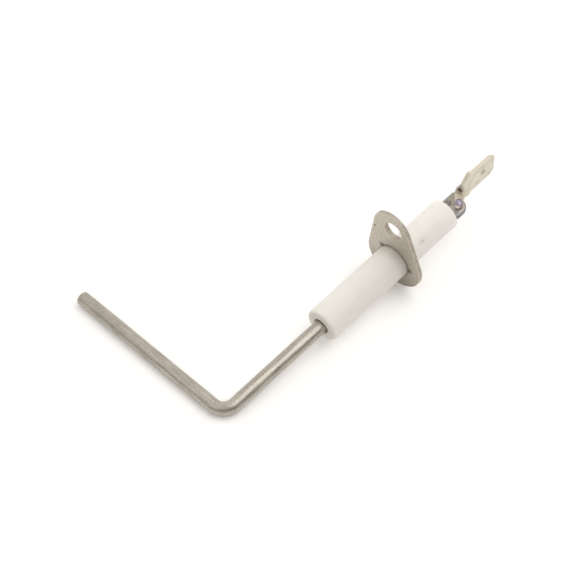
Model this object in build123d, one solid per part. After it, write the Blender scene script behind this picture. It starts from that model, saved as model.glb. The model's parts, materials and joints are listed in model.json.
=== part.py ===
"""Flame sensor probe: an L-shaped flame rod held in a stepped ceramic insulator by cement at
both ends, with an eared mounting flange, its push-on retaining ring, and a welded quick-connect
terminal.

Frame (millimetres): the insulator's axis is Y, and +Y points to the terminal. The rod bends
towards -X, and the flange's ear points up, +Z. The origin is on the axis, in the plane of the
flange's front face, which bears on the burner's bracket.
"""

from build123d import *
from math import cos, radians, sin
import os

# Flame rod: 1/8 inch wire
ROD_D = 3.175
ROD_BEND_R = 3.2
ROD_CORNER_Y = -52.1
ROD_LEG = 43.4
ROD_TIP_R = 0.55

# Insulator: a wider barrel in front of the flange, a narrower one behind it
BARREL_FRONT_D = 7.9
BARREL_FRONT_L = 23.0
BARREL_REAR_D = 7.3
BARREL_REAR_L = 17.0
FRONT_EDGE = 0.6
REAR_EDGE = 0.3
WIRE_BORE_D = 3.4
FRONT_MOUTH_D = 3.75
FRONT_RECESS = 1.0
REAR_MOUTH_D = 4.7
REAR_RECESS = 0.15
CEMENT_DEPTH = 1.6
CEMENT_DISH = 0.15

# Mounting flange: a stamped link plate with one screw ear, its hole punched a little off the
# ear's centre, and a countersink that the insulator's conical shoulder sits in
FLANGE_T = 1.0
FLANGE_R = 7.35
EAR_R = 4.9
EAR_REACH = 9.8
EAR_LEAN = 5.0
SCREW_HOLE_D = 4.6
SCREW_HOLE_X = -0.16
SCREW_HOLE_Z = 10.33
FLANGE_BORE_D = 7.4
SEAT_GAP = 0.02
FLANGE_EDGE = 0.12

# Push-on retaining ring behind the flange
RING_T = 0.4
RING_R = 5.5
RING_TOOTH_ROOT_R = 4.7
RING_RISE = 0.9
RING_TEETH = 8
RING_SLOT_W = 0.7

# Flattened end of the rod, behind the insulator
PADDLE_W = 5.4
PADDLE_T = 1.5
PADDLE_SHIFT = 0.3
PADDLE_START = 1.2
PADDLE_LEFT_END = 5.75
PADDLE_RIGHT_END = 4.7
PADDLE_LEFT_R = 0.7
PADDLE_RIGHT_R = 1.9
PADDLE_EDGE = 0.6

# Terminal: 1/4 inch male quick-connect tab, twisted a quarter turn at its neck
TAB_T = 0.8
TAB_EDGE = 0.08
BLADE_W = 6.35
BLADE_L = 8.0
BLADE_X = -0.9
BLADE_Z = 1.5
BLADE_START = 9.4
BLADE_TIP_CUT_L = 1.4
BLADE_TIP_CUT_W = 1.2
BLADE_TIP_BEVEL = 0.2
BLADE_HOLE_D = 1.6
BLADE_HOLE_FROM_TIP = 4.1
SHOULDER_W = 7.9
SHOULDER_L = 0.9
BLADE_ROOT_TOP = (5.9, 1.2)
BLADE_ROOT_FOOT = (6.7, -3.4)
NECK_START = 4.85
NECK_END = 6.7
NECK_W = 2.6
NECK_X = -0.25
PAD_SIDE = (0.3, 2.8)
PAD_NOSE_LEFT = (1.35, 1.8)
PAD_NOSE_RIGHT = (2.0, 2.1)
PAD_HEEL = (1.75, 3.8)

# Weld bead fused through the pad into the paddle: a low oval dome
BEAD_R = (0.9, 1.35, 0.45)
BEAD_TURN = 42.0
BEAD_CENTRE = (1.05, 3.35, 1.45)

ROD_R = ROD_D / 2
REAR_Y = BARREL_REAR_L
PADDLE_TOP = PADDLE_T / 2
PAD_MID_Z = PADDLE_TOP + TAB_T / 2
RING_GRIP_R = BARREL_REAR_D / 2


def turned(points):
    """Solid of revolution about the insulator's axis, from (radius, y) points."""
    outline = Polyline(*[(radius, y) for radius, y in points], close=True)
    return revolve(make_face(outline), axis=Axis.Y)


def behind(x, y, z):
    """Point given from the insulator's rear end face."""
    return (x, REAR_Y + y, z)


def rod_paddle():
    """Flattened rear end: a round-to-flat transition and a plate with a slanted end."""
    half = PADDLE_W / 2
    outline = make_face(Polyline(
        (-half, 0),
        (half, 0),
        (half, PADDLE_RIGHT_END - PADDLE_START),
        (-half, PADDLE_LEFT_END - PADDLE_START),
        close=True,
    ))
    left_corner = outline.vertices().sort_by(Axis.Y)[2:].sort_by(Axis.X)[0]
    outline = fillet(left_corner, PADDLE_LEFT_R)
    right_corner = outline.vertices().sort_by(Axis.X)[-2:].sort_by(Axis.Y)[-1]
    outline = fillet(right_corner, PADDLE_RIGHT_R)
    plate = Pos(*behind(PADDLE_SHIFT, PADDLE_START, 0)) * extrude(outline, PADDLE_T / 2, both=True)
    start = plate.faces().sort_by(Axis.Y)[0]
    rim = plate.faces().filter_by(Axis.Z).edges() - start.edges()
    plate = fillet(rim, PADDLE_EDGE)
    flat_section = plate.faces().sort_by(Axis.Y)[0]
    round_section = Plane(behind(0, 0, 0), x_dir=(1, 0, 0), z_dir=(0, 1, 0)) * Circle(ROD_R)
    return plate + loft([round_section.face(), flat_section])


def electrode_rod():
    path = FilletPolyline(
        (-ROD_LEG, ROD_CORNER_Y), (0, ROD_CORNER_Y), (0, REAR_Y), radius=ROD_BEND_R
    )
    wire = sweep(Plane(origin=path @ 0, z_dir=path % 0) * Circle(ROD_R), path)
    tip = wire.faces().sort_by(Axis.X)[0]
    wire = fillet(tip.edges(), ROD_TIP_R)
    return wire + rod_paddle()


def ceramic_insulator():
    front, rear = -BARREL_FRONT_L, BARREL_REAR_L
    front_r, rear_r = BARREL_FRONT_D / 2, BARREL_REAR_D / 2
    bore_r, front_mouth_r, rear_mouth_r = WIRE_BORE_D / 2, FRONT_MOUTH_D / 2, REAR_MOUTH_D / 2
    front_depth = front + FRONT_RECESS + CEMENT_DEPTH
    rear_depth = rear - REAR_RECESS - CEMENT_DEPTH
    return turned([
        (front_mouth_r, front),
        (front_r - FRONT_EDGE, front),
        (front_r - FRONT_EDGE * 0.3, front + FRONT_EDGE * 0.3),
        (front_r, front + FRONT_EDGE),
        (front_r, 0),
        (rear_r, front_r - rear_r),
        (rear_r, rear - REAR_EDGE),
        (rear_r - REAR_EDGE, rear),
        (rear_mouth_r, rear),
        (rear_mouth_r, rear_depth),
        (bore_r, rear_depth),
        (bore_r, front_depth),
        (front_mouth_r, front_depth),
    ])


def cement_plug(mouth, inward, diameter, recess):
    """Ring of refractory cement round the rod; inward is +1 or -1 along Y from the mouth."""
    outer, inner = diameter / 2, ROD_R
    top = mouth + inward * recess
    deep = top + inward * CEMENT_DEPTH
    return turned([
        (inner, deep),
        (outer, deep),
        (outer, top),
        (inner, top + inward * CEMENT_DISH),
    ])


def mounting_flange():
    lean = radians(EAR_LEAN)
    ear = Pos(-EAR_REACH * sin(lean), EAR_REACH * cos(lean)) * Circle(EAR_R)
    outline = make_hull((Circle(FLANGE_R) + ear).edges())
    plate = extrude(Plane.XZ * outline, -FLANGE_T)
    rims = plate.faces().filter_by(Axis.Y).edges()
    plate = fillet(rims, FLANGE_EDGE)
    screw_hole = Pos(SCREW_HOLE_X, SCREW_HOLE_Z) * Circle(SCREW_HOLE_D / 2)
    bore_r = FLANGE_BORE_D / 2
    plate -= extrude(Plane.XZ * (Circle(bore_r) + screw_hole), -FLANGE_T)
    seat_r = BARREL_FRONT_D / 2 + SEAT_GAP
    depth = seat_r - bore_r
    return plate - turned([(0, 0), (seat_r, 0), (bore_r, depth), (0, depth)])


def retaining_ring():
    base = FLANGE_T
    ring = turned([
        (RING_TOOTH_ROOT_R, base),
        (RING_R, base),
        (RING_R, base + RING_T),
        (RING_TOOTH_ROOT_R, base + RING_T),
        (RING_GRIP_R, base + RING_RISE + RING_T),
        (RING_GRIP_R, base + RING_RISE),
    ])
    length = RING_TOOTH_ROOT_R
    height = 4 * RING_RISE
    slot = Pos(length / 2, base, 0) * Box(length, height, RING_SLOT_W)
    for tooth in range(RING_TEETH):
        ring -= Rot(Y=360 / RING_TEETH * (tooth + 0.5)) * slot
    return ring


def blade_outline():
    """Half-turned tab in the YZ plane, from its neck to its bevelled tip, y from the neck."""
    half, tip = BLADE_W / 2, BLADE_START + BLADE_L
    shoulder = SHOULDER_W / 2
    flat = BLADE_START - SHOULDER_L
    upper = [
        BLADE_ROOT_TOP,
        (flat, shoulder),
        (BLADE_START - 0.2, shoulder),
        (BLADE_START, half),
        (tip - BLADE_TIP_CUT_L, half),
        (tip, half - BLADE_TIP_CUT_W),
    ]
    lower = [
        (tip, -half + BLADE_TIP_CUT_W),
        (tip - BLADE_TIP_CUT_L, -half),
        (BLADE_START, -half),
        (BLADE_START - 0.2, -shoulder),
        BLADE_ROOT_FOOT,
    ]
    return upper + lower


def neck_section(share):
    """Strip section on its way from lying on the paddle (0) to standing upright (1)."""
    root_top, root_foot = BLADE_Z + BLADE_ROOT_TOP[1], BLADE_Z + BLADE_ROOT_FOOT[1]
    growth = share ** 2
    width = NECK_W + (root_top - root_foot - NECK_W) * growth
    x = NECK_X + (BLADE_X - NECK_X) * share
    y = NECK_START + (NECK_END - NECK_START) * share
    z = PAD_MID_Z + ((root_top + root_foot) / 2 - PAD_MID_Z) * growth
    turn = radians(90 * share)
    across = Plane(behind(x, y, z), x_dir=(cos(turn), 0, -sin(turn)), z_dir=(0, 1, 0))
    return (across * Rectangle(width, TAB_T)).face()


def terminal_tab():
    pad_plane = Plane(behind(0, 0, PADDLE_TOP))
    pad_points = [
        (NECK_X - NECK_W / 2, NECK_START),
        PAD_SIDE,
        PAD_NOSE_LEFT,
        PAD_NOSE_RIGHT,
        PAD_HEEL,
        (NECK_X + NECK_W / 2, NECK_START),
    ]
    pad = extrude(pad_plane * make_face(Polyline(*pad_points, close=True)), TAB_T)
    pad_top = pad.faces().sort_by(Axis.Z)[-1]
    outer = [edge for edge in pad_top.edges() if edge.center().Y < REAR_Y + NECK_START - 0.01]
    pad = fillet(outer, TAB_EDGE)
    blade_plane = Plane(behind(BLADE_X, 0, BLADE_Z), x_dir=(0, 1, 0), z_dir=(1, 0, 0))
    blade_face = make_face(Polyline(*blade_outline(), close=True))
    blade = extrude(blade_plane * blade_face, TAB_T / 2, both=True)
    tip = blade.faces().sort_by(Axis.Y)[-1]
    long_edges = tip.edges().filter_by(Axis.Z)
    blade = chamfer(long_edges, BLADE_TIP_BEVEL)
    root_y = REAR_Y + BLADE_ROOT_FOOT[0] + 0.01
    rims = [edge for face in blade.faces().filter_by(Axis.X) for edge in face.edges()]
    blade = fillet([edge for edge in rims if edge.center().Y > root_y], TAB_EDGE)
    hole_y = BLADE_START + BLADE_L - BLADE_HOLE_FROM_TIP
    hole = Pos(*behind(BLADE_X, hole_y, BLADE_Z)) * Rot(Y=90) * Cylinder(BLADE_HOLE_D / 2, 2 * TAB_T)
    steps = 4
    neck = loft([neck_section(k / steps) for k in range(steps + 1)])
    return pad + neck + blade - hole


def weld_nugget(rod, tab):
    bead = Pos(*behind(*BEAD_CENTRE)) * Rot(Z=BEAD_TURN) * scale(Sphere(1), BEAD_R)
    return bead - rod - tab


rod = electrode_rod()
tab = terminal_tab()
nodes = {
    "electrode_rod": rod,
    "ceramic_insulator": ceramic_insulator(),
    "cement_front": cement_plug(-BARREL_FRONT_L, 1, FRONT_MOUTH_D, FRONT_RECESS),
    "cement_rear": cement_plug(BARREL_REAR_L, -1, REAR_MOUTH_D, REAR_RECESS),
    "mounting_flange": mounting_flange(),
    "retaining_ring": retaining_ring(),
    "terminal_tab": tab,
    "weld_nugget": weld_nugget(rod, tab),
}

os.makedirs("parts", exist_ok=True)
for name, solid in nodes.items():
    export_step(solid, f"parts/{name}.step")
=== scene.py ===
"""Looks of a flame sensor probe: studio floor, light and camera, and a material for each piece.

Lengths are in millimetres in this script's constants, and mm() turns them into metres.
"""

import json
import math

import bmesh
import bpy
from mathutils import Matrix, Vector, noise


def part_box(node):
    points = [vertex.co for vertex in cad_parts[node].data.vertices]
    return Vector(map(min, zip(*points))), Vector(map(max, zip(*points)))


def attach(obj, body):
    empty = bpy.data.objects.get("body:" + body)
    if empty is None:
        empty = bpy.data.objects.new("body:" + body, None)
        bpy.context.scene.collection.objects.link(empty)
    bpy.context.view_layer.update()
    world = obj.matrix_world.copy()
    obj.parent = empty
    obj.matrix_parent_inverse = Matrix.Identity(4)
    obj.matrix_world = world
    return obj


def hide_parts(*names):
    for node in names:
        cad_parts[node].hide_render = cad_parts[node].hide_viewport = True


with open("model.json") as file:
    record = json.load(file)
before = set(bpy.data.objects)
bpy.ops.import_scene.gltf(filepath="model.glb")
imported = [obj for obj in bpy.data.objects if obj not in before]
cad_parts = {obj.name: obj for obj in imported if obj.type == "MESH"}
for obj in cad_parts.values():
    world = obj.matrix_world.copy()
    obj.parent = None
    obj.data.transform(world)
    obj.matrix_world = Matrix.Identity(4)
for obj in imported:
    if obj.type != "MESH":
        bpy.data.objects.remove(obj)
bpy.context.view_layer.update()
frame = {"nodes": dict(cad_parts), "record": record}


def mm(value):
    """Millimetres to metres, for a number or a point."""
    if isinstance(value, (int, float)):
        return value / 1000
    return Vector(value) / 1000


def box_mm(node):
    """Lowest and highest corner of a CAD node, in millimetres."""
    low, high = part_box(node)
    return Vector(low) * 1000, Vector(high) * 1000


# Camera: direction from the object, roll, distance to the point it looks at
VIEW_AZIMUTH = 47.4
VIEW_ELEVATION = 55.4
VIEW_ROLL = -4.45
VIEW_DISTANCE = 377.5
VIEW_AIM = (-13.18, -19.47, -2.40)
LENS = 109.0

FLOOR_SIZE = 3000.0
FLOOR_GLOW = 0.12

# Softboxes: direction along the view's right, up and back, distance, size and watts
KEY_SOFTBOX = ((0.45, 0.62, 0.75), 700, 560, 1.5)
FILL_SOFTBOX = ((-0.8, -0.1, 1.0), 900, 700, 0.8)
SOFTBOX_COLOR = (1.0, 0.985, 0.96)

# Surroundings: brightness on the front side by height (sine of the elevation), white elsewhere
WORLD_STRENGTH = 0.93
WORLD_FRONT = (0.736, -0.677, 0.0)
WORLD_BANDS = ((0.0, 0.30), (0.34, 0.30), (0.40, 0.0), (0.58, 0.0), (0.65, 1.0), (1.0, 1.0))

# The part's frame, from the CAD boxes: the insulator's axis is Y, and the rod's tip points to -X
ROD_LOW, ROD_HIGH = box_mm("electrode_rod")
CERAMIC_LOW, CERAMIC_HIGH = box_mm("ceramic_insulator")
BEAD_LOW, BEAD_HIGH = box_mm("weld_nugget")
BEAD_MIDDLE = (BEAD_LOW + BEAD_HIGH) / 2
FLANGE_LOW, _ = box_mm("mounting_flange")
ROD_R = ROD_HIGH.z
ROD_TIP_X = ROD_LOW.x
ROD_CORNER_Y = ROD_LOW.y + ROD_R
FRONT_Y, REAR_Y = CERAMIC_LOW.y, CERAMIC_HIGH.y
FRONT_R = CERAMIC_HIGH.z

# Flame rod
ROD_BEND_R = 3.2
ROD_TIP_EDGE = 0.55
ROD_SIDES = 72
ROD_STEP = 0.4
PADDLE_STEPS = 40
PADDLE_W = 5.4
PADDLE_T = 1.5
PADDLE_START = 1.2
PADDLE_LEFT_END = 5.75
PADDLE_RIGHT_END = 4.7
PADDLE_LEFT_R = 0.7
PADDLE_RIGHT_R = 1.9
PADDLE_LIP = 0.5

# Ceramic insulator and the cement in its mouths
REAR_R = 3.65
BORE_R = 1.7
FRONT_MOUTH_R = 1.875
REAR_MOUTH_R = 2.35
FRONT_RECESS = 1.0
REAR_RECESS = 0.15
CEMENT_DEPTH = 1.6
CEMENT_DISH = 0.15
FRONT_EDGE = 0.6
REAR_EDGE = 0.3
MOUTH_EDGE = 0.12
CERAMIC_STEP = 0.5
CERAMIC_SIDES = 160
CEMENT_STEP = 0.12
CEMENT_SIDES = 96

# Weld bead
BEAD_R = (0.88, 1.33)
BEAD_TURN = 42.0
BEAD_RINGS = 22
BEAD_SIDES = 64

# Sheet metal: rounding of the stamped edges, and the least turn of an edge that counts as sharp
FLANGE_EDGE = 0.04
RING_EDGE = 0.05
SHARP_ANGLE = math.radians(30)
MERGE_METRES = 1e-6

# Marks on the surfaces, and the centres of painted shade: dark spots at the flange's seat and a dark
# patch on the terminal's neck
SCUFF = (2.49, 6.4, 2.67)
FLANGE_DOT = (-5.38, 0.0, 7.94)
# Centres of dark spots of painted contact shade on the flange, just outside the barrel
FLANGE_CONTACT_SHADE = ((-3.3, 0.0, 2.7), (4.45, 0.0, 0.2))
# Centre of the painted shade on the terminal's twisted neck
NECK_SHADE = (-0.7, REAR_Y + 5.9, 1.6)


# ---------------------------------------------------------------- camera, floor and light


def camera_axes():
    azimuth, elevation = math.radians(VIEW_AZIMUTH), math.radians(VIEW_ELEVATION)
    back = Vector((
        math.sin(azimuth) * math.cos(elevation),
        -math.cos(azimuth) * math.cos(elevation),
        math.sin(elevation),
    ))
    level = Vector((math.cos(azimuth), math.sin(azimuth), 0))
    over = back.cross(level)
    roll = math.radians(VIEW_ROLL)
    right = level * math.cos(roll) + over * math.sin(roll)
    return right, back.cross(right), back


def make_camera():
    right, over, back = camera_axes()
    data = bpy.data.cameras.new("view")
    data.lens = LENS
    data.sensor_width = 36
    data.clip_end = 20
    camera = bpy.data.objects.new("view", data)
    turn = Matrix((right, over, back)).transposed()
    place = mm(VIEW_AIM) + back * mm(VIEW_DISTANCE)
    camera.matrix_world = Matrix.Translation(place) @ turn.to_4x4()
    bpy.context.collection.objects.link(camera)
    bpy.context.scene.camera = camera


def resting_tilt():
    """Angle of the surface that touches the rod's long leg and the flange's lowest edge."""
    run, rim = -ROD_CORNER_Y, -FLANGE_LOW.z
    return math.acos(ROD_R / math.hypot(run, rim)) - math.atan2(run, rim)


def make_floor(material):
    tilt = resting_tilt()
    normal = Vector((0, math.sin(tilt), math.cos(tilt)))
    under_leg = Vector((0, ROD_CORNER_Y, 0)) - normal * ROD_R
    half = mm(FLOOR_SIZE) / 2
    mesh = bpy.data.meshes.new("studio_floor")
    corners = [(-half, -half, 0), (half, -half, 0), (half, half, 0), (-half, half, 0)]
    mesh.from_pydata(corners, [], [(0, 1, 2, 3)])
    mesh.materials.append(material)
    floor = bpy.data.objects.new("studio_floor", mesh)
    floor.matrix_world = Matrix.Translation(mm(under_leg)) @ Matrix.Rotation(-tilt, 4, "X")
    bpy.context.collection.objects.link(floor)


def softbox(name, direction, distance, size, power):
    """Square area light in a direction given along the view's right, up and back."""
    right, over, back = camera_axes()
    toward = (right * direction[0] + over * direction[1] + back * direction[2]).normalized()
    data = bpy.data.lights.new(name, "AREA")
    data.size = mm(size)
    data.energy = power
    data.color = SOFTBOX_COLOR
    light = bpy.data.objects.new(name, data)
    place = mm(VIEW_AIM) + toward * mm(distance)
    light.matrix_world = (
        Matrix.Translation(place) @ toward.to_track_quat("Z", "Y").to_matrix().to_4x4()
    )
    bpy.context.collection.objects.link(light)


def make_world():
    """Studio surroundings: white, with a dim band low on the front side that metal mirrors as a line."""
    world = bpy.data.worlds.new("studio")
    world.use_nodes = True
    tree = world.node_tree
    toward = tree.nodes.new("ShaderNodeTexCoord").outputs["Generated"]
    parts = tree.nodes.new("ShaderNodeSeparateXYZ")
    ramp = tree.nodes.new("ShaderNodeValToRGB")
    facing = tree.nodes.new("ShaderNodeVectorMath")
    side = tree.nodes.new("ShaderNodeMapRange")
    mix = tree.nodes.new("ShaderNodeMix")
    mix.data_type = "RGBA"
    tree.links.new(toward, parts.inputs[0])
    tree.links.new(parts.outputs["Z"], ramp.inputs["Fac"])
    stops = ramp.color_ramp.elements
    while len(stops) < len(WORLD_BANDS):
        stops.new(0.5)
    for stop, (height, level) in zip(stops, WORLD_BANDS):
        stop.position = height
        stop.color = (level, level * 0.985, level * 0.955, 1)
    facing.operation = "DOT_PRODUCT"
    facing.inputs[1].default_value = WORLD_FRONT
    tree.links.new(toward, facing.inputs[0])
    tree.links.new(facing.outputs["Value"], side.inputs["Value"])
    side.inputs["From Min"].default_value = -0.1
    side.inputs["From Max"].default_value = 0.15
    tree.links.new(side.outputs["Result"], mix.inputs[0])
    mix.inputs[6].default_value = (1.0, 0.99, 0.97, 1)
    tree.links.new(ramp.outputs["Color"], mix.inputs[7])
    tree.links.new(mix.outputs[2], tree.nodes["Background"].inputs["Color"])
    tree.nodes["Background"].inputs["Strength"].default_value = WORLD_STRENGTH
    bpy.context.scene.world = world


def make_light():
    softbox("key_softbox", *KEY_SOFTBOX)
    softbox("fill_softbox", *FILL_SOFTBOX)
    make_world()
    bpy.context.scene.view_settings.view_transform = "Standard"


# ---------------------------------------------------------------- materials


class Material:
    """Small helper round a node tree: it adds a node, sets its inputs and links them."""

    def __init__(self, name):
        self.data = bpy.data.materials.new(name)
        self.data.use_nodes = True
        self.tree = self.data.node_tree
        self.shader = self.tree.nodes["Principled BSDF"]
        self.place = self.node("ShaderNodeTexCoord").outputs["Object"]

    def node(self, kind, inputs=None, **settings):
        made = self.tree.nodes.new(kind)
        for key, value in settings.items():
            setattr(made, key, value)
        for key, value in (inputs or {}).items():
            self.put(made.inputs[key], value)
        return made

    def put(self, socket, value):
        if isinstance(value, bpy.types.NodeSocket):
            self.tree.links.new(value, socket)
        else:
            socket.default_value = value

    def shade(self, **values):
        for key, value in values.items():
            self.put(self.shader.inputs[key.replace("_", " ")], value)

    def scaled(self, scale, place=None):
        """Coordinates in millimetres times a scale for each axis."""
        times = [1000 * part for part in scale]
        node = self.node("ShaderNodeVectorMath", {0: place or self.place, 1: times},
                         operation="MULTIPLY")
        return node.outputs[0]

    def noise(self, scale, detail=4.0, rough=0.55, place=None):
        node = self.node("ShaderNodeTexNoise",
                         {"Vector": self.scaled(scale, place), "Scale": 1.0,
                          "Detail": detail, "Roughness": rough})
        return node.outputs["Fac"]

    def spread(self, value, low, high, to_low=0.0, to_high=1.0):
        node = self.node("ShaderNodeMapRange",
                         {"Value": value, "From Min": low, "From Max": high,
                          "To Min": to_low, "To Max": to_high})
        return node.outputs["Result"]

    def blend(self, factor, first, second):
        node = self.node("ShaderNodeMix", data_type="RGBA")
        self.put(node.inputs[0], factor)
        for socket, value in ((node.inputs[6], first), (node.inputs[7], second)):
            self.put(socket, (*value, 1) if isinstance(value, tuple) else value)
        return node.outputs[2]

    def ramp(self, factor, stops):
        node = self.node("ShaderNodeValToRGB", {"Fac": factor})
        elements = node.color_ramp.elements
        while len(elements) < len(stops):
            elements.new(0.5)
        for element, (at, color) in zip(elements, stops):
            element.position = at
            element.color = (*color, 1)
        return node.outputs["Color"]

    def bump(self, height, distance, strength=1.0, under=None):
        inputs = {"Height": height, "Distance": mm(distance), "Strength": strength}
        if under is not None:
            inputs["Normal"] = under
        return self.node("ShaderNodeBump", inputs).outputs["Normal"]

    def add(self, first, second):
        return self.node("ShaderNodeMath", {0: first, 1: second}, operation="ADD").outputs[0]

    def times(self, first, second):
        return self.node("ShaderNodeMath", {0: first, 1: second}, operation="MULTIPLY").outputs[0]


def floor_material():
    m = Material("studio_floor")
    m.shade(Base_Color=(0.93, 0.925, 0.92, 1), Roughness=0.8)
    m.shader.inputs["Specular IOR Level"].default_value = 0.1
    m.shader.inputs["Emission Color"].default_value = (1.0, 0.985, 0.95, 1)
    m.shader.inputs["Emission Strength"].default_value = FLOOR_GLOW
    return m.data


def axis_value(m, axis):
    """Object coordinate along one axis, in millimetres."""
    parts = m.node("ShaderNodeSeparateXYZ", {0: m.scaled((1, 1, 1))})
    return parts.outputs[axis]


def distance_from(m, point, stretch=(1, 1, 1)):
    """Distance from a point in millimetres, with each axis stretched."""
    shifted = m.node("ShaderNodeVectorMath", {0: m.scaled((1, 1, 1)), 1: tuple(point)},
                     operation="SUBTRACT").outputs[0]
    scaled = m.node("ShaderNodeVectorMath", {0: shifted, 1: stretch},
                    operation="MULTIPLY").outputs[0]
    return m.node("ShaderNodeVectorMath", {0: scaled}, operation="LENGTH").outputs["Value"]


def normal_part(m, axis):
    """Size of one component of the object-space normal."""
    normal = m.node("ShaderNodeTexCoord").outputs["Normal"]
    parts = m.node("ShaderNodeSeparateXYZ", {0: normal})
    return m.node("ShaderNodeMath", {0: parts.outputs[axis]}, operation="ABSOLUTE").outputs[0]


def near(m, distance, inner, outer, ragged=0.0, scale=1.2):
    """1 inside a radius, falling to 0 outside another, with a ragged border."""
    if ragged:
        wander = m.spread(m.noise((scale, scale, scale)), 0.3, 0.7, -ragged, ragged)
        distance = m.add(distance, wander)
    return m.spread(distance, inner, outer, 1.0, 0.0)


def heat_tint(m, color, strength=1.0):
    """Oxide colours round the weld: violet at the bead, then rose and straw."""
    away = distance_from(m, BEAD_MIDDLE, (1, 1, 0.6))
    straw = near(m, away, 1.7, 3.4, 0.5)
    rose = near(m, away, 1.15, 1.9, 0.25, 2.0)
    violet = near(m, away, 0.75, 1.25, 0.25, 2.0)
    color = m.blend(m.times(straw, 0.35 * strength), color, (0.44, 0.37, 0.25))
    color = m.blend(m.times(rose, 0.75 * strength), color, (0.66, 0.54, 0.49))
    return m.blend(m.times(violet, 0.8 * strength), color, (0.30, 0.27, 0.36))


def ceramic_material():
    m = Material("ceramic")
    along = axis_value(m, "Y")
    cloud = m.noise((0.16, 0.10, 0.16))
    drag = m.noise((2.2, 0.12, 2.2), detail=3)
    speck = m.noise((2.6, 2.6, 2.6), detail=2)
    grain = m.noise((9, 9, 9), detail=6, rough=0.65)
    # Painted shade: the ceramic's base colour darkens from the rear end towards the front end.
    color = m.blend(m.spread(along, -4.0, 9.0), (0.815, 0.785, 0.735), (0.91, 0.88, 0.84))
    color = m.blend(m.spread(cloud, 0.35, 0.7, 0.0, 0.45), color, (0.72, 0.675, 0.615))
    color = m.blend(m.spread(drag, 0.45, 0.75, 0.0, 0.22), color, (0.66, 0.62, 0.56))
    # Darker next to the flange on both sides: partly grime, partly painted shade where the flange meets
    # the barrel.
    flange_grime_and_shade = m.times(m.spread(along, -2.6, -0.2), m.spread(along, 3.5, 1.0))
    color = m.blend(m.times(flange_grime_and_shade, 0.5), color, (0.52, 0.475, 0.42))
    color = m.blend(m.spread(speck, 0.72, 0.77, 0.0, 0.6), color, (0.45, 0.39, 0.32))
    scuff = near(m, distance_from(m, SCUFF, (1.2, 0.7, 1.2)), 0.15, 0.75, 0.35, 3.0)
    color = m.blend(m.times(scuff, 0.5), color, (0.42, 0.41, 0.40))
    mouth = m.spread(along, FRONT_Y + 0.5, FRONT_Y - 0.05)
    color = m.blend(m.times(mouth, 0.3), color, (0.60, 0.555, 0.50))
    relief = m.bump(drag, 0.012, 0.6)
    m.shade(Base_Color=color, Roughness=m.spread(grain, 0.3, 0.7, 0.5, 0.68),
            Normal=m.bump(grain, 0.012, 0.8, relief))
    m.shader.inputs["Subsurface Weight"].default_value = 0.08
    m.shader.inputs["Subsurface Radius"].default_value = (0.0012, 0.001, 0.0008)
    return m.data


def cement_material():
    m = Material("cement")
    grain = m.noise((4.5, 4.5, 4.5), detail=6, rough=0.7)
    pores = m.noise((7, 7, 7), detail=2)
    color = m.ramp(grain, ((0.30, (0.24, 0.22, 0.19)), (0.5, (0.42, 0.39, 0.345)),
                           (0.72, (0.56, 0.525, 0.47))))
    color = m.blend(m.spread(pores, 0.60, 0.68), color, (0.13, 0.115, 0.10))
    m.shade(Base_Color=color, Roughness=m.spread(grain, 0.3, 0.7, 0.82, 0.95),
            Normal=m.bump(grain, 0.09))
    return m.data


def rod_material():
    """Drawn wire: streaks follow the wire round its bend, and the flattened end is scaled."""
    m = Material("rod_steel")
    wire = m.node("ShaderNodeAttribute", attribute_name="wire").outputs["Vector"]
    streak = m.noise((0.00010, 0.0032, 0.0032), detail=4, place=wire)
    cloud = m.noise((0.00022, 0.0011, 0.0011), detail=6, rough=0.62, place=wire)
    grain = m.noise((0.0022, 0.0048, 0.0048), detail=5, rough=0.72, place=wire)
    fleck = m.noise((0.0011, 0.0042, 0.0042), detail=2, place=wire)
    color = m.ramp(cloud, ((0.32, (0.39, 0.355, 0.305)), (0.5, (0.51, 0.468, 0.41)),
                           (0.70, (0.61, 0.565, 0.50))))
    color = m.blend(m.spread(streak, 0.42, 0.66, 0.0, 0.45), color, (0.28, 0.25, 0.212))
    color = m.blend(m.spread(grain, 0.50, 0.68, 0.0, 0.7), color, (0.19, 0.170, 0.147))
    color = m.blend(m.spread(fleck, 0.70, 0.76, 0.0, 0.4), color, (0.74, 0.70, 0.62))
    across = axis_value(m, "X")
    tip = m.spread(across, ROD_TIP_X + 0.25, ROD_TIP_X + 0.02)
    color = m.blend(m.times(tip, 0.45), color, (0.30, 0.275, 0.24))
    patch = m.noise((0.75, 0.75, 0.75), detail=3)
    scale_color = m.ramp(patch, ((0.34, (0.15, 0.125, 0.125)), (0.45, (0.36, 0.345, 0.34)),
                                 (0.56, (0.33, 0.305, 0.22)), (0.66, (0.47, 0.455, 0.465))))
    along = axis_value(m, "Y")
    blued = m.spread(across, 1.2, 2.7, 0.0, 0.65)
    scale_color = m.blend(blued, scale_color, (0.17, 0.165, 0.20))
    color = m.blend(m.spread(along, REAR_Y + 0.1, REAR_Y + 0.9), color, scale_color)
    color = heat_tint(m, color, 0.45)
    relief = m.bump(streak, 0.02, 0.7)
    m.shade(Base_Color=color, Roughness=m.spread(cloud, 0.3, 0.7, 0.31, 0.42),
            Normal=m.bump(grain, 0.008, 0.8, relief))
    m.shader.inputs["Metallic"].default_value = 0.8
    return m.data


def sheet_edges(m, color, axis, light, dark):
    """Sheared rim darker than the faces, and the rounded arris between them polished."""
    facing = normal_part(m, axis)
    rim = m.spread(facing, 0.35, 0.15)
    arris = m.times(m.spread(facing, 0.2, 0.45), m.spread(facing, 0.985, 0.9))
    color = m.blend(m.times(rim, 0.75), color, dark)
    return m.blend(m.times(arris, 0.55), color, light), rim


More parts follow.
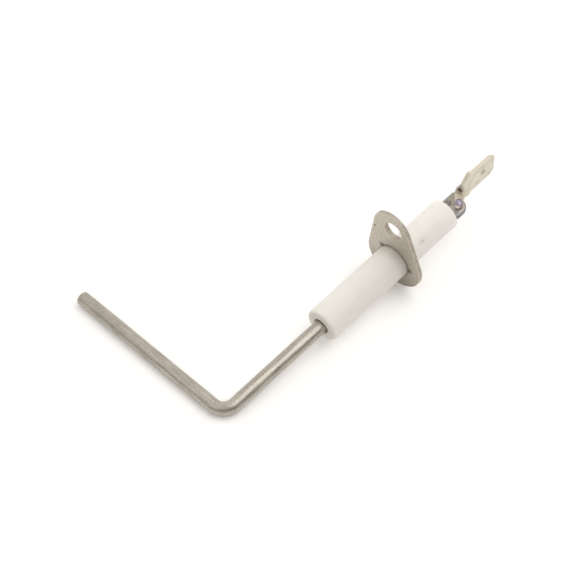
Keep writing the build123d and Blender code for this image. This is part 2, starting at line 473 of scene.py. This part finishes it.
def flange_material():
    m = Material("flange_steel")
    cloud = m.noise((0.22, 0.22, 0.22), detail=4)
    mottle = m.noise((1.9, 1.9, 1.9), detail=5, rough=0.7)
    rolled = m.noise((0.35, 6, 5), detail=3)
    pits = m.noise((3.4, 3.4, 3.4), detail=3)
    shear = m.noise((7, 0.9, 7), detail=4, rough=0.7)
    color = m.ramp(mottle, ((0.31, (0.36, 0.31, 0.255)), (0.44, (0.515, 0.465, 0.40)),
                            (0.56, (0.59, 0.545, 0.48)), (0.70, (0.69, 0.65, 0.58))))
    color = m.blend(m.spread(cloud, 0.4, 0.7, 0.0, 0.3), color, (0.44, 0.40, 0.345))
    color = m.blend(m.spread(rolled, 0.5, 0.75, 0.0, 0.25), color, (0.40, 0.365, 0.32))
    color = m.blend(m.spread(pits, 0.62, 0.69, 0.0, 0.65), color, (0.21, 0.17, 0.13))
    dot = near(m, distance_from(m, FLANGE_DOT), 0.16, 0.36, 0.08, 4.0)
    color = m.blend(m.times(dot, 0.9), color, (0.07, 0.05, 0.045))
    # Painted contact shade: a dark ring on the flange round the barrel's seat.
    seat = distance_from(m, (0, 0, 0), (1, 0, 1))
    seat_shade = near(m, seat, FRONT_R + 0.05, FRONT_R + 0.75, 0.3, 1.4)
    color = m.blend(m.times(seat_shade, 0.4), color, (0.13, 0.10, 0.075))
    # Painted contact shade: dark spots on the flange where the barrel meets it.
    for spot in FLANGE_CONTACT_SHADE:
        contact_shade = near(m, distance_from(m, spot, (1, 0.5, 1)), 0.35, 1.1, 0.3, 2.0)
        color = m.blend(m.times(contact_shade, 0.8), color, (0.07, 0.055, 0.045))
    # Painted shade: the flange is coloured darker towards its lower side.
    painted_low_shade = m.spread(axis_value(m, "Z"), 1.5, -5.0, 0.0, 0.6)
    color = m.blend(painted_low_shade, color, (0.27, 0.235, 0.195))
    shear_color = m.ramp(shear, ((0.36, (0.26, 0.21, 0.16)), (0.5, (0.47, 0.42, 0.355)),
                                 (0.64, (0.72, 0.67, 0.60))))
    color, rim = sheet_edges(m, color, "Y", (0.72, 0.68, 0.62), shear_color)
    wear = m.add(m.spread(mottle, 0.3, 0.7, 0.38, 0.55), m.times(rim, 0.2))
    relief = m.bump(mottle, 0.02, 0.7)
    m.shade(Base_Color=color, Roughness=wear, Normal=m.bump(pits, 0.012, 0.6, relief))
    m.shader.inputs["Metallic"].default_value = 0.7
    return m.data


def ring_material():
    m = Material("ring_steel")
    cloud = m.noise((0.5, 0.5, 0.5), detail=5)
    grain = m.noise((6, 6, 6), detail=4, rough=0.65)
    color = m.ramp(cloud, ((0.34, (0.33, 0.315, 0.29)), (0.52, (0.45, 0.435, 0.41)),
                           (0.70, (0.56, 0.545, 0.515))))
    color = m.blend(m.spread(grain, 0.55, 0.7, 0.0, 0.45), color, (0.23, 0.215, 0.195))
    color, rim = sheet_edges(m, color, "Y", (0.66, 0.64, 0.61), (0.28, 0.26, 0.235))
    m.shade(Base_Color=color, Roughness=m.add(m.spread(cloud, 0.3, 0.7, 0.3, 0.46),
                                              m.times(rim, 0.1)),
            Normal=m.bump(grain, 0.008))
    m.shader.inputs["Metallic"].default_value = 0.9
    return m.data


def terminal_material():
    """Tinned brass strip: fine rolling lines, soft stains, burnt colours at the weld, and painted shade
    on the neck.
    """
    m = Material("tinned_terminal")
    cloud = m.noise((0.45, 0.35, 0.45), detail=4)
    rolled = m.noise((5, 0.35, 5), detail=4, rough=0.6)
    stain = m.noise((1.1, 1.1, 1.1), detail=5, rough=0.65)
    scratch = m.noise((9, 0.5, 3), detail=2)
    color = m.ramp(cloud, ((0.32, (0.56, 0.515, 0.41)), (0.5, (0.655, 0.61, 0.515)),
                           (0.70, (0.71, 0.675, 0.59))))
    color = m.blend(m.spread(rolled, 0.42, 0.72, 0.0, 0.28), color, (0.50, 0.455, 0.36))
    color = m.blend(m.spread(stain, 0.56, 0.74, 0.0, 0.5), color, (0.60, 0.53, 0.37))
    color = m.blend(m.spread(scratch, 0.66, 0.70, 0.0, 0.4), color, (0.82, 0.79, 0.72))
    color, rim = sheet_edges(m, color, "X", (0.80, 0.76, 0.67), (0.74, 0.69, 0.58))
    # Painted shade: a dark brown patch on the twisted neck.
    neck_shade = near(m, distance_from(m, NECK_SHADE, (1.0, 1.1, 0.8)), 0.55, 1.5, 0.35, 2.0)
    color = m.blend(m.times(neck_shade, 0.85), color, (0.15, 0.11, 0.075))
    color = heat_tint(m, color)
    relief = m.bump(rolled, 0.010, 0.6)
    m.shade(Base_Color=color, Roughness=m.add(m.spread(stain, 0.3, 0.7, 0.34, 0.5),
                                              m.times(rim, 0.25)),
            Normal=m.bump(stain, 0.015, 0.5, relief))
    m.shader.inputs["Metallic"].default_value = 0.8
    return m.data


def weld_material():
    m = Material("weld")
    away = distance_from(m, BEAD_MIDDLE, (1, 1, 0.6))
    wander = m.spread(m.noise((2.2, 2.2, 2.2)), 0.3, 0.7, -0.12, 0.12)
    ring = m.spread(m.add(away, wander), 0.0, 1.2)
    color = m.ramp(ring, ((0.0, (0.50, 0.475, 0.56)), (0.35, (0.40, 0.375, 0.47)),
                          (0.6, (0.24, 0.22, 0.30)), (0.85, (0.40, 0.33, 0.34))))
    grain = m.noise((5, 5, 5), detail=4, rough=0.6)
    color = m.blend(m.spread(grain, 0.55, 0.75, 0.0, 0.5), color, (0.09, 0.08, 0.12))
    m.shade(Base_Color=color, Roughness=m.spread(grain, 0.3, 0.7, 0.24, 0.42),
            Normal=m.bump(grain, 0.02))
    m.shader.inputs["Metallic"].default_value = 0.85
    return m.data


def make_materials():
    return {
        "rod_steel": rod_material(),
        "ceramic": ceramic_material(),
        "cement": cement_material(),
        "flange_steel": flange_material(),
        "ring_steel": ring_material(),
        "tinned_terminal": terminal_material(),
        "weld": weld_material(),
    }


# ---------------------------------------------------------------- mesh helpers


def slot_of(node):
    for row in frame["record"]["subparts"]:
        if row["node"] == node:
            return row["material_slot"]


def place_piece(name, mesh, node):
    """Put a mesh in the scene in place of a CAD node, in that node's slot and material."""
    mesh.materials.clear()
    mesh.materials.append(materials[slot_of(node)])
    piece = bpy.data.objects.new(name, mesh)
    bpy.context.collection.objects.link(piece)
    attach(piece, "root")
    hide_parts(node)
    return piece


def mesh_of_rings(name, rings, capped):
    """Skin over rings of points in millimetres: capped at both ends, or joined end to end."""
    sides = len(rings[0])
    points = [mm(point) for ring in rings for point in ring]
    faces = []
    for k in range(len(rings) if not capped else len(rings) - 1):
        here, there = k * sides, (k + 1) % len(rings) * sides
        for side in range(sides):
            after = (side + 1) % sides
            faces.append((here + side, here + after, there + after, there + side))
    if capped:
        faces.append(tuple(reversed(range(sides))))
        faces.append(tuple(range(len(points) - sides, len(points))))
    mesh = bpy.data.meshes.new(name)
    mesh.from_pydata(points, [], faces)
    work = bmesh.new()
    work.from_mesh(mesh)
    bmesh.ops.recalc_face_normals(work, faces=work.faces)
    for face in work.faces:
        face.smooth = True
    work.to_mesh(mesh)
    work.free()
    return mesh


def bump_at(point, size, seed):
    """Smooth noise from about -1 to 1 with bumps of a size in millimetres."""
    return noise.noise(Vector(point) / size + Vector((seed, seed * 1.7, seed * 0.6)))


def rounded_profile(corners):
    """Closed outline from (radius, y, corner radius) points, its corners rounded."""
    outline = []
    steps = 6
    count = len(corners)
    for k, (r, y, cut) in enumerate(corners):
        corner = Vector((r, y))
        if not cut:
            outline.append(corner)
            continue
        before = Vector(corners[k - 1][:2]) - corner
        after = Vector(corners[(k + 1) % count][:2]) - corner
        start = corner + before.normalized() * cut
        end = corner + after.normalized() * cut
        for step in range(steps + 1):
            t = step / steps
            outline.append(start * (1 - t) ** 2 + corner * 2 * t * (1 - t) + end * t ** 2)
    return outline


def divided(outline, longest):
    """The same closed outline with no side longer than a length."""
    points = []
    for here, there in zip(outline, outline[1:] + outline[:1]):
        parts = max(1, math.ceil((there - here).length / longest))
        points += [here.lerp(there, k / parts) for k in range(parts)]
    return points


def turned_piece(name, node, outline, sides, shape):
    """Closed profile spun round the insulator's axis, then moved by shape(point, radius)."""
    rings = []
    for radius, y in outline:
        ring = []
        for side in range(sides):
            turn = math.tau * side / sides
            around = Vector((math.cos(turn), 0, math.sin(turn)))
            point = Vector((0, y, 0)) + around * radius
            ring.append(point + shape(point, around, radius))
        rings.append(ring)
    return place_piece(name, mesh_of_rings(name, rings, capped=False), node)


# ---------------------------------------------------------------- pieces


def make_ceramic():
    shoulder = FRONT_R - REAR_R
    front_depth = FRONT_Y + FRONT_RECESS + CEMENT_DEPTH
    rear_depth = REAR_Y - REAR_RECESS - CEMENT_DEPTH
    corners = [
        (FRONT_MOUTH_R, FRONT_Y, MOUTH_EDGE),
        (FRONT_R, FRONT_Y, FRONT_EDGE),
        (FRONT_R, 0, 0),
        (REAR_R, shoulder, 0),
        (REAR_R, REAR_Y, REAR_EDGE),
        (REAR_MOUTH_R, REAR_Y, MOUTH_EDGE),
        (REAR_MOUTH_R, rear_depth, 0),
        (BORE_R, rear_depth, 0),
        (BORE_R, front_depth, 0),
        (FRONT_MOUTH_R, front_depth, 0),
    ]

    def worn(point, around, radius):
        outside = radius > REAR_MOUTH_R + 0.3
        if not outside:
            return Vector((0, 0, 0))
        wave = -0.012 * (1 + bump_at(point, 6.0, 3.1))
        end = min(abs(point.y - FRONT_Y), abs(point.y - REAR_Y))
        edge = max(0.0, 1 - end / 0.7) * (radius > REAR_R - 0.5)
        chip = max(0.0, bump_at(point, 0.8, 7.3) - 0.25) * 0.35 * edge
        fine = 0.01 * edge * bump_at(point, 0.3, 1.9)
        return around * (wave - chip - abs(fine))

    outline = divided(rounded_profile(corners), CERAMIC_STEP)
    return turned_piece("insulator_body", "ceramic_insulator", outline, CERAMIC_SIDES, worn)


def make_cement(name, node, mouth, inward, outer, recess):
    top = mouth + inward * recess
    deep = top + inward * CEMENT_DEPTH
    corners = [
        (ROD_R, deep),
        (outer, deep),
        (outer, top),
        (ROD_R + 0.5 * (outer - ROD_R), top + inward * 0.7 * CEMENT_DISH),
        (ROD_R, top + inward * 0.5 * CEMENT_DISH),
    ]

    def lumpy(point, around, radius):
        mouth_side = abs(point.y - deep) > CEMENT_DEPTH / 2
        lump = 0.5 + 0.5 * bump_at(point, 0.45, 4.7)
        return Vector((0, inward * 0.12 * lump * mouth_side, 0))

    outline = divided([Vector(corner) for corner in corners], CEMENT_STEP)
    return turned_piece(name, node, outline, CEMENT_SIDES, lumpy)


def spaced(start, end, step):
    """Evenly spaced numbers from start up to but not including end."""
    count = max(1, round(abs(end - start) / step))
    return [start + (end - start) * k / count for k in range(count)]


def wire_stations():
    """Centre, direction and length along the wire, from the tip round the bend to the paddle."""
    stations = []
    corner = Vector((-ROD_BEND_R, ROD_CORNER_Y + ROD_BEND_R, 0))
    leg = -ROD_TIP_X - ROD_BEND_R
    arc = ROD_BEND_R * math.pi / 2
    tip_steps = [ROD_TIP_EDGE * (1 - math.cos(math.pi / 2 * k / 8)) for k in range(8)]
    for along in tip_steps + spaced(ROD_TIP_EDGE, leg, ROD_STEP):
        stations.append((Vector((ROD_TIP_X + along, ROD_CORNER_Y, 0)), Vector((1, 0, 0)), along))
    for turn in spaced(0, math.pi / 2, 0.04):
        spoke = Vector((math.sin(turn), -math.cos(turn), 0))
        heading = Vector((math.cos(turn), math.sin(turn), 0))
        stations.append((corner + spoke * ROD_BEND_R, heading, leg + ROD_BEND_R * turn))
    start = ROD_CORNER_Y + ROD_BEND_R
    for y in spaced(start, REAR_Y, ROD_STEP):
        stations.append((Vector((0, y, 0)), Vector((0, 1, 0)), leg + arc + y - start))
    return stations, leg, arc


def wire_relief(point, along, leg, arc):
    """Draw marks, and the flattening and small dents that the bending tool left."""
    relief = 0.010 * bump_at((along * 0.12, point.y * 0.9, point.z * 0.9), 0.9, 2.3)
    relief += 0.006 * bump_at(point, 0.35, 5.1)
    for dent in (leg - 0.6, leg + arc + 0.6):
        relief -= 0.05 * math.exp(-((along - dent) / 0.9) ** 2) * max(0.0, bump_at(point, 1.6, 8.2))
    return relief - 0.008


def wire_ring(centre, heading, along, leg, arc):
    side = heading.cross(Vector((0, 0, 1)))
    inset = 0.0
    if along < ROD_TIP_EDGE:
        inset = ROD_TIP_EDGE - math.sqrt(ROD_TIP_EDGE ** 2 - (ROD_TIP_EDGE - along) ** 2)
    bend = math.exp(-((along - leg - arc / 2) / (0.45 * arc)) ** 2)
    ring = []
    straight = []
    for k in range(ROD_SIDES):
        turn = math.tau * k / ROD_SIDES
        across, up = math.cos(turn), math.sin(turn)
        flat = 1 - 0.028 * bend * across ** 2
        radius = (ROD_R - inset) * flat
        point = centre + (side * across + Vector((0, 0, up))) * radius
        radius += wire_relief(point, along, leg, arc) if inset < 0.3 else 0
        ring.append(centre + (side * across + Vector((0, 0, up))) * radius)
        straight.append((along, ROD_R * across, ROD_R * up))
    return ring, straight


def corner_inset(from_end, radius):
    if from_end >= radius:
        return 0.0
    return radius - math.sqrt(max(0.0, radius ** 2 - (radius - from_end) ** 2))


def paddle_ring(share, base_along):
    """Ring of the flattened end: share 0 is the round wire, 1 is the slanted end."""
    right = ROD_HIGH.x
    left = right - PADDLE_W
    length = PADDLE_LEFT_END
    spread_part = min(1.0, share * length / PADDLE_START)
    ease = spread_part * spread_part * (3 - 2 * spread_part)
    from_end = (1 - share) * (PADDLE_LEFT_END - PADDLE_START)
    low = -ROD_R + (left + ROD_R) * ease + corner_inset(from_end, PADDLE_LEFT_R)
    high = ROD_R + (right - ROD_R) * ease - corner_inset(from_end, PADDLE_RIGHT_R)
    half = ROD_R + (PADDLE_T / 2 - ROD_R) * ease - corner_inset(from_end, PADDLE_LIP)
    power = 2 + 3 * ease
    ring = []
    straight = []
    for k in range(ROD_SIDES):
        turn = math.tau * k / ROD_SIDES
        across, up = math.cos(turn), math.sin(turn)
        x = (low + high) / 2 + (high - low) / 2 * math.copysign(abs(across) ** (2 / power), across)
        z = half * math.copysign(abs(up) ** (2 / power), up)
        slant = (PADDLE_RIGHT_END - PADDLE_LEFT_END) * (x - left) / PADDLE_W * share
        y = REAR_Y + share * length + slant
        point = Vector((x, y, z))
        hammered = 0.035 * ease * (bump_at(point, 1.1, 6.4) - 1)
        point.z += math.copysign(hammered, z)
        ring.append(point)
        straight.append((base_along + share * length, ROD_R * across, ROD_R * up))
    return ring, straight


def make_rod():
    stations, leg, arc = wire_stations()
    rings = []
    straights = []
    for centre, heading, along in stations:
        ring, straight = wire_ring(centre, heading, along, leg, arc)
        rings.append(ring)
        straights += straight
    base_along = leg + arc + REAR_Y - ROD_CORNER_Y - ROD_BEND_R
    for k in range(PADDLE_STEPS + 1):
        share = math.sin(math.pi / 2 * k / PADDLE_STEPS)
        ring, straight = paddle_ring(share, base_along)
        rings.append(ring)
        straights += straight
    mesh = mesh_of_rings("flame_rod", rings, capped=True)
    wire = mesh.attributes.new("wire", "FLOAT_VECTOR", "POINT")
    for k, value in enumerate(straights):
        wire.data[k].vector = value
    return place_piece("flame_rod", mesh, "electrode_rod")


def make_bead():
    """Low oval dome with the rings that the weld pool left as it froze."""
    base = BEAD_LOW.z
    height = BEAD_HIGH.z - base
    turn = math.radians(BEAD_TURN)
    rings = []
    for k in range(BEAD_RINGS):
        out = 1 - k / BEAD_RINGS
        ring = []
        for side in range(BEAD_SIDES):
            angle = math.tau * side / BEAD_SIDES
            x, y = BEAD_R[0] * math.cos(angle) * out, BEAD_R[1] * math.sin(angle) * out
            wander = 1 + 0.06 * bump_at((x, y, 0), 0.5, 3.3) * out
            x, y = x * wander, y * wander
            dome = math.sqrt(1 - out ** 2) * (1 - 0.03 * (1 + math.cos(out * 24)))
            ring.append(Vector((
                BEAD_MIDDLE.x + x * math.cos(turn) - y * math.sin(turn),
                BEAD_MIDDLE.y + x * math.sin(turn) + y * math.cos(turn),
                base + height * dome,
            )))
        rings.append(ring)
    return place_piece("weld_bead", mesh_of_rings("weld_bead", rings, capped=True), "weld_nugget")


def merged_copy(name, node):
    """Copy of a CAD node's mesh with its doubled points merged, and an open bmesh of it."""
    mesh = frame["nodes"][node].data.copy()
    mesh.name = name
    work = bmesh.new()
    work.from_mesh(mesh)
    bmesh.ops.remove_doubles(work, verts=work.verts, dist=MERGE_METRES)
    return mesh, work


def smooth_into(mesh, work):
    for face in work.faces:
        face.smooth = True
    work.to_mesh(mesh)
    work.free()


def plain_copy(name, node):
    """Sheet-metal piece whose edges are rounded already in the CAD."""
    mesh, work = merged_copy(name, node)
    for edge in work.edges:
        edge.smooth = edge.calc_face_angle(0.0) < SHARP_ANGLE
    smooth_into(mesh, work)
    return place_piece(name, mesh, node)


def edged_copy(name, node, width):
    """Sheet-metal piece whose sharp edges are rounded off here, on a mesh that stays closed."""
    mesh, work = merged_copy(name, node)
    bmesh.ops.dissolve_limit(work, angle_limit=math.radians(0.5), verts=work.verts,
                             edges=work.edges)
    sharp = [edge for edge in work.edges if edge.calc_face_angle(0.0) > SHARP_ANGLE]
    bmesh.ops.bevel(work, geom=sharp, offset=mm(width), segments=3, profile=0.5,
                    affect="EDGES", clamp_overlap=True)
    bmesh.ops.remove_doubles(work, verts=work.verts, dist=MERGE_METRES)
    bmesh.ops.dissolve_degenerate(work, edges=work.edges, dist=MERGE_METRES)
    bmesh.ops.triangulate(work, faces=work.faces)
    smooth_into(mesh, work)
    piece = place_piece(name, mesh, node)
    shading = piece.modifiers.new("flat_faces", "WEIGHTED_NORMAL")
    shading.keep_sharp = True
    return piece


materials = make_materials()
make_camera()
make_floor(floor_material())
make_light()
make_rod()
make_ceramic()
make_cement("front_cement", "cement_front", FRONT_Y, 1, FRONT_MOUTH_R, FRONT_RECESS)
make_cement("rear_cement", "cement_rear", REAR_Y, -1, REAR_MOUTH_R, REAR_RECESS)
edged_copy("flange_plate", "mounting_flange", FLANGE_EDGE)
edged_copy("push_on_ring", "retaining_ring", RING_EDGE)
plain_copy("terminal_strip", "terminal_tab")
make_bead()
